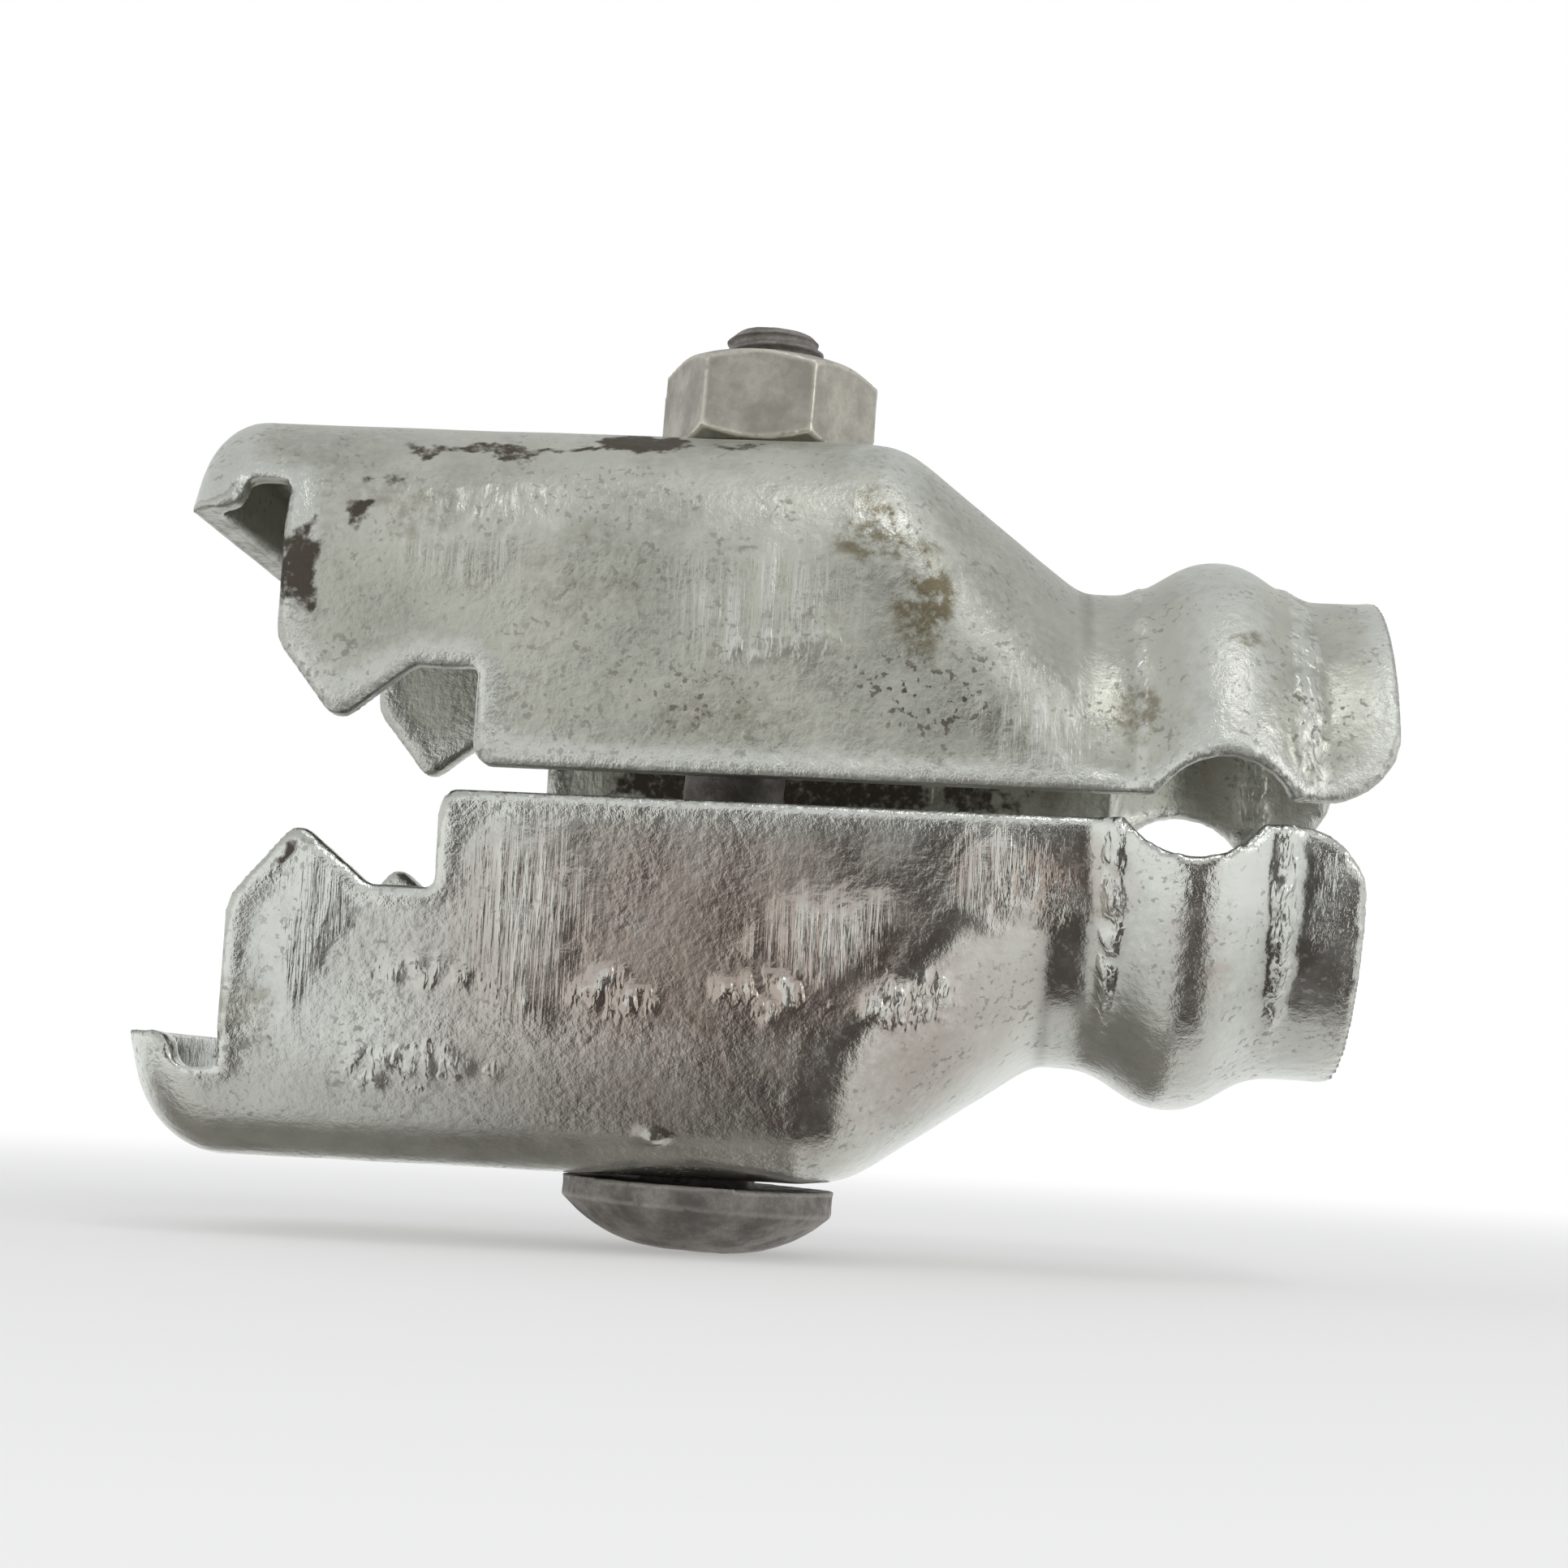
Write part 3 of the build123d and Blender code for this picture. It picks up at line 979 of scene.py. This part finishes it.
@dataclass
class CupBolt:
    """The cup-head square-neck bolt: a forged head and neck, and a threaded shank."""

    hole: Vector  # where its axis meets the outside of the lower web
    axis: Vector
    finish: SteelFinish
    skin: Skin
    neck_end: float = 8.0 * MM
    neck_corner: float = 10.0 * MM  # past the neck's corners, from the axis
    overlap: float = 3.0 * MM  # how far the shank starts inside the neck
    cut_back: float = 0.2 * MM  # how far inside the neck's end the shank is cut off
    shank_radius: float = 6.0 * MM
    head_radius: float = 15.6 * MM
    head_gap: float = 2.45 * MM  # from the hole down to the head, along the axis
    bearing_reach: float = 0.3 * MM  # how near its level the bearing face's corners are
    bearing_tilt: float = math.radians(1.0)
    grain: float = 0.34 * MM
    softening: int = 3

    def build(self) -> None:
        """Make the bolt, dress it, and put it on its body in place of the CAD node."""
        stand = Vector((0, 0, 1)).rotation_difference(self.axis).to_matrix().to_4x4()
        place = Matrix.Translation(self.hole) @ stand
        material = self.finish.material()
        head = copied("carriage_bolt", "bolt_skin")
        self.cut(head, place)
        self.seat(head, place)
        skinned(head, self.grain, self.softening)
        self.skin.tree("carriage_bolt").put_on(head, material)
        settle(head)
        start = self.neck_end - self.overlap
        shank = new_piece("bolt_shank", bpy.data.meshes.new("bolt_shank"))
        BoltThread(self.shank_radius, self.tip(place) - start).tree().put_on(shank, material)
        settle(shank)
        shank.data.transform(place @ Matrix.Translation((0, 0, start)))
        self.join(head, shank)
        hand_in(head, "clamp_bolt", "carriage_bolt")

    def tip(self, place: Matrix) -> float:
        """Measure how far up its own axis the CAD bolt reaches."""
        inverse, bolt = place.inverted(), frame["nodes"]["carriage_bolt"].data
        return max((inverse @ vertex.co).z for vertex in bolt.vertices)

    def cut(self, piece: bpy.types.Object, place: Matrix) -> None:
        """Cut the shank off at the end of the neck and close the cut.

        Args:
            piece: the copy of the CAD bolt.
            place: where the bolt's own axes lie.
        """
        shape = bmesh.new()
        shape.from_mesh(piece.data)
        level = place @ Vector((0, 0, self.neck_end - self.cut_back))
        every = shape.verts[:] + shape.edges[:] + shape.faces[:]
        bmesh.ops.bisect_plane(
            shape, geom=every, plane_co=level, plane_no=self.axis, clear_outer=True
        )
        bmesh.ops.holes_fill(shape, edges=[edge for edge in shape.edges if edge.is_boundary])
        bmesh.ops.recalc_face_normals(shape, faces=shape.faces)
        shape.to_mesh(piece.data)
        shape.free()

    def seat(self, piece: bpy.types.Object, place: Matrix) -> None:
        """Tilt the head's bearing face part of the way back towards the web that it leans from.

        Args:
            piece: the copy of the CAD bolt.
            place: where the bolt's own axes lie.
        """
        inverse = place.inverted()
        for vertex in piece.data.vertices:
            own = inverse @ vertex.co
            level = abs(own.z + self.head_gap) < self.bearing_reach
            if level and math.hypot(own.x, own.y) > self.neck_corner:
                own.z += math.tan(self.bearing_tilt) * (own.x + self.head_radius)
                vertex.co = place @ own

    def join(self, head: bpy.types.Object, shank: bpy.types.Object) -> None:
        """Put the shank's mesh into the head's, and drop the shank's object.

        Args:
            head: the head, which becomes the whole bolt.
            shank: the shank.
        """
        both = [head, shank]
        with bpy.context.temp_override(active_object=head, selected_editable_objects=both):
            bpy.ops.object.join()


@dataclass
class HexNut:
    """The heavy hexagon nut that bears straight on the upper web."""

    finish: SteelFinish
    skin: Skin
    grain: float = 0.28 * MM
    softening: int = 6

    def build(self) -> None:
        """Make the nut, dress it, and put it on its body in place of the CAD node."""
        piece = copied("hex_nut", "hex_nut_skin")
        skinned(piece, self.grain, self.softening)
        self.skin.tree("hex_nut").put_on(piece, self.finish.material())
        settle(piece)
        hand_in(piece, "clamp_nut", "hex_nut")


@dataclass(frozen=True)
class Lamp:
    """A soft square lamp that faces the clamp."""

    name: str
    at: Triple
    size: float = 0.25  # length of its side
    power: float = 0.5  # in watts

    def hang(self) -> None:
        """Put the lamp into the scene."""
        data = bpy.data.lights.new(self.name, "AREA")
        data.shape = "SQUARE"
        data.size = self.size
        data.energy = self.power
        lamp = bpy.data.objects.new(self.name, data)
        bpy.context.scene.collection.objects.link(lamp)
        at = Vector(self.at)
        turn = (Vector(MIDDLE) - at).to_track_quat("-Z", "Y").to_matrix().to_4x4()
        lamp.matrix_world = Matrix.Translation(at) @ turn


@dataclass(frozen=True)
class Sky:
    """Soft light from all round, with the dim parts of the room that bright zinc mirrors.

    A band is of one axis of the direction looked in: across (+X), deep (+Y, which is
    behind the clamp) or height (+Z). It runs from where a tone is missing to where
    it is full.
    """

    level: Rgb = (0.97, 0.98, 0.97)
    above: Rgb = (0.66, 0.67, 0.68)
    above_height: Band = (0.1, 0.7)
    below: Rgb = (0.66, 0.65, 0.63)
    below_height: Band = (-0.25, -0.95)
    back: Rgb = (0.22, 0.21, 0.19)
    back_deep: Band = (-0.1, 0.3)
    back_height: Band = (-0.2, -0.6)
    back_across: Band = (0.05, -0.10)
    strip: Rgb = (0.085, 0.074, 0.068)  # dim and warm, in front of the clamp
    strip_middle: float = 0.12
    strip_reach: Band = (0.36, 0.15)
    strip_deep: Band = (0.25, -0.05)
    strip_height: Band = (0.32, 0.12)

    def spread(self) -> None:
        """Make the world: these tones for the light, and plain white behind the view."""
        world = bpy.data.worlds.new("sky")
        bpy.context.scene.world = world
        bpy.context.scene.view_settings.view_transform = "Standard"
        world.use_nodes = True
        graph = Graph(world.node_tree)
        direction = graph.node("ShaderNodeTexCoord", {}).outputs["Generated"]
        across, deep, height = graph.node("ShaderNodeSeparateXYZ", {0: direction}).outputs
        reach = graph.math("ABSOLUTE", graph.plus(across, -self.strip_middle))
        seen = graph.node("ShaderNodeLightPath", {}).outputs["Is Camera Ray"]
        back = ((deep, self.back_deep), (height, self.back_height), (across, self.back_across))
        strip = ((reach, self.strip_reach), (deep, self.strip_deep), (height, self.strip_height))
        tone = self.level
        for places, colour in (
            (((height, self.above_height),), self.above),
            (((height, self.below_height),), self.below),
            (back, self.back),
            (strip, self.strip),
        ):
            steps = [graph.step(value, *band) for value, band in places]
            tone = graph.mix(reduce(graph.times, steps), tone, colour)
        tone = graph.mix(seen, tone, WHITE)
        light = graph.node("ShaderNodeBackground", {"Color": tone, "Strength": 1.0})
        graph.node("ShaderNodeOutputWorld", {"Surface": light.outputs[0]})


@dataclass(frozen=True)
class Floor:
    """A pale floor at the level of the clamp's lowest point, fading to white."""

    size: float = 6.0
    pale: Rgb = (0.86, 0.86, 0.85)
    glow: float = 0.35  # share of its white that is its own light, next to the clamp
    fade: Band = (0.10, 0.45)  # metres from the clamp over which it becomes all white

    def lay(self) -> None:
        """Put the floor into the scene, where it throws no light back at the clamp."""
        low = min(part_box(node)[0].z for node in frame["nodes"])
        mesh = bpy.data.meshes.new("floor")
        shape = bmesh.new()
        half = self.size / 2
        corners = ((-half, -half), (half, -half), (half, half), (-half, half))
        shape.faces.new([shape.verts.new((*corner, low)) for corner in corners])
        shape.to_mesh(mesh)
        shape.free()
        mesh.materials.append(self.material(low))
        floor = new_piece("floor", mesh)
        floor.visible_glossy = False
        floor.visible_diffuse = False

    def material(self, level: float) -> bpy.types.Material:
        """Build the floor's material.

        Args:
            level: the floor's height.

        Returns:
            The finished material.
        """
        graph = MaterialGraph("pale_floor")
        away = graph.vector("SUBTRACT", graph.point, (*MIDDLE[:2], level))
        away = graph.vector("LENGTH", away)
        lift = graph.between(graph.step(away, *self.fade), self.glow, 1.0)
        pale = graph.node("ShaderNodeBsdfDiffuse", {"Color": self.pale}).outputs[0]
        white = graph.node("ShaderNodeEmission", {"Color": WHITE, "Strength": 1.0}).outputs[0]
        return graph.end(graph.node("ShaderNodeMixShader", {0: lift, 1: pale, 2: white}).outputs[0])


@dataclass
class Studio:
    """The floor, the light and the camera."""

    lamps: tuple[Lamp, ...] = (Lamp("key", (0.10, -0.35, 0.60)), Lamp("side", (0.60, -0.35, 0.25)))
    lens: float = 59.43  # in millimetres, as is the sensor
    sensor: float = 36.0
    nearest: float = 0.01
    stand: Triple = (-0.04327, -0.2995, -0.03299)
    roll: float = -2.51  # in degrees, as are the next two
    pitch: float = 7.203
    yaw: float = 3.518

    def build(self) -> None:
        """Set up the floor, the light and the camera."""
        Floor().lay()
        Sky().spread()
        for lamp in self.lamps:
            lamp.hang()
        self.camera()

    def camera(self) -> None:
        """Stand the camera in front of the clamp, a little below its middle."""
        data = bpy.data.cameras.new("camera")
        data.lens = self.lens
        data.sensor_width = self.sensor
        data.clip_start = self.nearest
        camera = bpy.data.objects.new("camera", data)
        bpy.context.scene.collection.objects.link(camera)
        turn = Matrix.Identity(4)
        for degrees, axis in ((self.roll, "Y"), (self.pitch, "X"), (self.yaw, "Z"), (90.0, "X")):
            turn = turn @ Matrix.Rotation(math.radians(degrees), 4, axis)
        camera.matrix_world = Matrix.Translation(Vector(self.stand)) @ turn
        bpy.context.scene.camera = camera


UPPER_SKIN = Skin(
    "upper_zinc_skin",
    (
        # near wall and its corner
        Patch(Mark.RUN, (-62.0, -27.4, 15.5), (10.0, 5.0, 1.8), 0.45),
        Patch(Mark.RUN, (-96.0, -26.0, 30.0), (9.0, 6.0, 3.0), 0.35),
        Patch(Mark.RAKE, (-64.5, -27.4, 20.5), (15.0, 6.0, 9.0)),
        Patch(Mark.RAKE, (-97.0, -26.0, 27.0), (13.0, 7.0, 8.0), 0.7),
        Patch(Mark.RAKE, (-34.0, -27.0, 9.0), (10.0, 7.0, 9.0), 0.8),
        Patch(Mark.RUST, (-53.5, -25.0, 29.5), (4.6, 7.0, 6.0), 1.2),
        Patch(Mark.RUST, (-48.0, -27.0, 21.5), (4.2, 6.0, 8.0), 1.2),
        Patch(Mark.RUST, (-70.0, -27.4, 9.0), (11.0, 5.0, 5.0), 0.45),
        Patch(Mark.RUST, (-84.0, -27.0, 23.0), (8.0, 5.0, 7.0), 0.35),
        Patch(Mark.RUST, (-104.0, -27.0, 29.0), (7.0, 6.0, 3.5), 0.5),
        Patch(Mark.RUST, (-24.0, -26.0, 10.5), (3.6, 6.0, 4.6), 0.9),
        Patch(Mark.RUST, (-13.0, -24.0, 19.0), (3.0, 7.0, 1.8), 0.9),
        Patch(Mark.RUST, (-98.0, -4.0, 43.0), (7.0, 7.0, 4.0), 0.8),
        Patch(Mark.DIRT_AND_SHADE, (-80.0, -18.0, 38.6), (6.5, 8.0, 3.2), 1.15),
        Patch(Mark.DIRT_AND_SHADE, (-94.0, -20.0, 37.6), (17.0, 6.0, 1.4), 0.8),
        Patch(Mark.DIRT_AND_SHADE, (-115.0, -27.4, 22.0), (2.8, 4.0, 6.5), 1.05),
        Patch(Mark.DIRT_AND_SHADE, (-109.0, -27.4, 27.5), (2.0, 4.0, 1.8)),
        Patch(Mark.DIRT_AND_SHADE, (-106.0, -26.0, 31.5), (3.4, 5.0, 1.6), 0.5),
        Patch(Mark.DIRT_AND_SHADE, (-69.0, -18.0, 38.5), (4.0, 5.0, 2.0), 0.6),
        Patch(Mark.PIT, (-46.0, -27.4, 11.0), (16.0, 5.0, 9.0)),
        Patch(Mark.PIT, (-8.0, -24.0, 8.0), (12.0, 8.0, 9.0), 0.7),
        Patch(Mark.PIT, (-72.0, -27.4, 10.0), (16.0, 5.0, 8.0), 0.7),
        # far wall and its corner
        Patch(Mark.RUN, (-66.0, 27.4, 14.0), (9.0, 5.0, 3.0), 0.6),
        Patch(Mark.RUN, (-104.0, 20.0, 36.5), (8.0, 7.0, 3.0), 0.5),
        Patch(Mark.RAKE, (-92.0, 27.4, 16.0), (13.0, 7.0, 12.0)),
        Patch(Mark.RAKE, (-46.0, 27.4, 10.0), (10.0, 7.0, 9.0), 0.8),
        Patch(Mark.RUST, (-42.0, 25.0, 20.0), (6.0, 7.0, 7.0)),
        # painted shade on the inside of the far wall, next to the gap between the halves
        Patch(Mark.DIRT_AND_SHADE, (-68.0, 23.6, 6.0), (44.0, 2.4, 10.0), 0.9),
        Patch(Mark.DIRT_AND_SHADE, (-58.0, 20.0, 37.5), (7.0, 6.0, 2.6), 0.95),
        Patch(Mark.DIRT_AND_SHADE, (-110.0, 27.0, 27.0), (2.6, 5.0, 5.0), 0.95),
        Patch(Mark.PIT, (-70.0, 26.0, 22.0), (30.0, 8.0, 14.0)),
        # all round
        Patch(Mark.SEAM, (-24.0, 0.0, 0.0), (1.3, 60.0, 60.0), 0.35),
        Patch(Mark.SEAM, (-6.5, 0.0, 0.0), (2.4, 60.0, 60.0), 0.5),
        Patch(Mark.PIT, (-95.0, 0.0, 43.0), (24.0, 16.0, 4.0)),
    ),
    seed=0.31,
)

LOWER_SKIN = Skin(
    "lower_zinc_skin",
    (
        # near wall and its corner
        Patch(Mark.LUMP, (-74.3, -21.3, -36.3), (1.9, 1.9, 1.9)),
        Patch(Mark.LUMP, (-17.5, -25.0, -8.5), (2.4, 5.0, 2.0), 0.8),
        Patch(Mark.RUN, (-61.5, -27.4, -21.7), (7.0, 5.0, 2.6)),
        Patch(Mark.RUN, (-46.5, -27.4, -22.0), (7.0, 5.0, 2.8)),
        Patch(Mark.RUN, (-78.0, -27.4, -22.8), (6.5, 5.0, 3.2), 0.8),
        Patch(Mark.RUN, (-98.0, -26.0, -31.0), (11.0, 6.0, 1.8), 0.5),
        Patch(Mark.RUN, (-96.0, -27.4, -21.5), (10.0, 5.0, 1.6), 0.5),
        Patch(Mark.RAKE, (-88.5, -27.4, -13.5), (9.0, 7.0, 15.0)),
        Patch(Mark.RAKE, (-36.5, -27.4, -9.0), (8.5, 7.0, 9.0)),
        Patch(Mark.RAKE, (-56.0, -27.4, -14.5), (10.0, 7.0, 6.5)),
        Patch(Mark.RAKE, (-112.0, -27.4, -17.0), (5.0, 7.0, 11.0)),
        Patch(Mark.RAKE, (-3.0, -25.0, -9.0), (4.0, 6.0, 8.0), 0.6),
        # painted warm reflection of the room on the near wall
        Patch(Mark.WARM_REFLECTION, (-68.0, -22.0, -19.0), (48.0, 22.0, 28.0), 0.9),
        Patch(Mark.WARM_REFLECTION, (-36.0, -26.0, -8.0), (15.0, 6.0, 10.0), 0.9),
        Patch(Mark.WARM_REFLECTION, (-17.0, -25.0, -12.0), (3.4, 10.0, 12.0), 0.9),
        Patch(Mark.RUST, (-118.0, -26.0, -27.0), (5.0, 6.0, 5.0), 0.5),
        Patch(Mark.RUST, (-68.0, -26.0, -26.0), (2.6, 5.0, 1.4), 0.8),
        Patch(Mark.DIRT_AND_SHADE, (-115.5, -27.4, -9.5), (1.0, 3.0, 1.0)),
        Patch(Mark.PIT, (-74.0, -27.4, -5.0), (22.0, 5.0, 3.0), 0.7),
        # far wall and its corner
        Patch(Mark.RUN, (-84.0, 27.4, -20.5), (9.0, 5.0, 3.0)),
        Patch(Mark.RUN, (-52.0, 27.0, -16.0), (8.0, 5.0, 3.0), 0.9),
        Patch(Mark.RUN, (-100.0, 14.0, -40.0), (9.0, 7.0, 4.0), 0.6),
        Patch(Mark.RAKE, (-68.0, 27.4, -11.0), (14.0, 7.0, 11.0)),
        Patch(Mark.RAKE, (-104.0, 27.4, -16.0), (9.0, 7.0, 12.0), 0.9),
        # painted warm reflection of the room on the far wall
        Patch(Mark.WARM_REFLECTION, (-84.0, 22.0, -18.0), (40.0, 20.0, 24.0), 0.9),
        Patch(Mark.RUST, (-44.0, 24.0, -24.0), (7.0, 8.0, 6.0), 0.7),
        Patch(Mark.DIRT_AND_SHADE, (-92.0, 22.0, -35.5), (8.0, 6.0, 2.6), 0.9),
        Patch(Mark.PIT, (-60.0, 27.0, -8.0), (30.0, 7.0, 7.0), 0.8),
        # all round
        Patch(Mark.SEAM, (-26.6, 0.0, -5.0), (1.6, 60.0, 23.0)),
        Patch(Mark.SEAM, (-8.6, 0.0, -7.0), (1.6, 60.0, 21.0), 0.9),
    ),
    seed=0.77,
)

FORGED_SKIN = Skin(
    "forged_skin",
    (),
    swell=0.16 * MM,
    peel=0.10 * MM,
    ridge=0.0,
    sink=0.12 * MM,
    rim_steps=6,
)
NUT_SKIN = Skin(
    "nut_skin",
    (),
    swell=0.06 * MM,
    peel=0.03 * MM,
    ridge=0.0,
    sink=0.05 * MM,
    rim_steps=9,
)

DULL_ZINC = ZincFinish(
    "zinc_matte",
    light=(0.60, 0.60, 0.53),
    dark=(0.41, 0.415, 0.36),
    # colour of the painted warm reflection
    warm_reflection=(0.44, 0.41, 0.38),
    metal=0.85,
    smooth=0.30,
    dull=0.46,
    peel=0.11 * MM,
    grain=0.022 * MM,
)
BRIGHT_ZINC = ZincFinish(
    "zinc_glossy",
    light=(0.72, 0.735, 0.70),
    dark=(0.52, 0.53, 0.50),
    # colour of the painted warm reflection
    warm_reflection=(0.43, 0.35, 0.30),
    metal=0.95,
    smooth=0.13,
    dull=0.26,
    peel=0.065 * MM,
    grain=0.012 * MM,
)
FORGED_STEEL = SteelFinish(
    "bolt_steel",
    light=(0.30, 0.275, 0.255),
    dark=(0.13, 0.118, 0.108),
    wear_and_highlight=(0.36, 0.335, 0.31),
    metal=0.35,
    smooth=0.48,
    dull=0.70,
    scale=0.20 * MM,
)
NUT_ZINC = SteelFinish(
    "nut_zinc",
    light=(0.50, 0.475, 0.415),
    dark=(0.33, 0.315, 0.275),
    wear_and_highlight=(0.72, 0.68, 0.59),
    metal=0.75,
    smooth=0.36,
    dull=0.52,
    scale=0.025 * MM,
)


def main() -> None:
    """Build the studio and every piece of the clamp."""
    logging.basicConfig(level=logging.INFO, format="%(name)s %(message)s")
    joints = {joint["name"]: joint for joint in frame["joints"]}
    hole = Vector(joints["bolt_rock"]["pos_m"])
    axis = Vector(joints["jaw_close"]["axis"]).normalized()
    Studio().build()
    PressedShell("lower_shell", "lower_jaw", "zinc_glossy", BRIGHT_ZINC, LOWER_SKIN).build()
    PressedShell("upper_shell", "upper_jaw", "zinc_matte", DULL_ZINC, UPPER_SKIN).build()
    CupBolt(hole, axis, FORGED_STEEL, FORGED_SKIN).build()
    HexNut(NUT_ZINC, NUT_SKIN).build()


if __name__ == "__main__":
    main()
